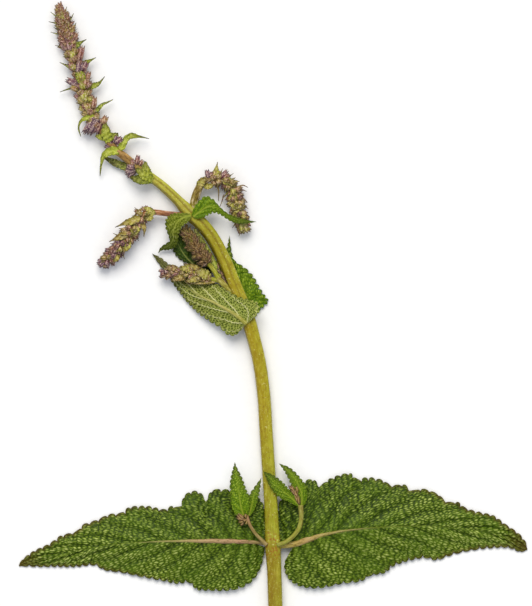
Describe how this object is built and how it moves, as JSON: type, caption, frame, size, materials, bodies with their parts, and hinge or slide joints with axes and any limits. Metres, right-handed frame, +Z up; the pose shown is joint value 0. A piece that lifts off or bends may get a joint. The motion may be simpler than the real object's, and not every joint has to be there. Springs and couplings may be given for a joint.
{
  "type": "cut flowering sage stem",
  "caption": "Flowering sage stem, cut and lying flat: square stem, paired toothed leaves, axil shoots and whorled flower spikes.",
  "frame": {"origin": "centre of the bounding box's underside, on the surface that the stem lies on", "axes": "+Z up off the surface, +Y along the stem from its cut end to its flower tip, +X to the right seen from above"},
  "size_m": [0.1798, 0.224, 0.0085],
  "materials": {
    "stem": "fresh green, faintly glossy herb stem with fine hairs",
    "leaf_upper_face": "dull, finely puckered leaf",
    "young_leaf": "dull, soft young leaf",
    "leaf_underside": "dull leaf underside with a raised pale net",
    "flower_spike": "dull, finely hairy bracts and calyces"
  },
  "bodies": {
    "root": {"main_stem": "stem", "lower_leaf_left": "leaf_upper_face", "lower_leaf_right": "leaf_upper_face", "axil_shoot_left": "young_leaf", "axil_shoot_right": "young_leaf", "upper_leaf_front": "leaf_underside", "upper_leaf_back": "young_leaf", "inner_branch_leaf": "leaf_upper_face", "inner_spike_upper": "flower_spike", "inner_spike_lower": "flower_spike", "node_leaf_left": "young_leaf", "node_leaf_right": "young_leaf", "side_spike_left": "flower_spike", "side_spike_right": "flower_spike", "terminal_spike": "flower_spike"}
  },
  "joints": []
}
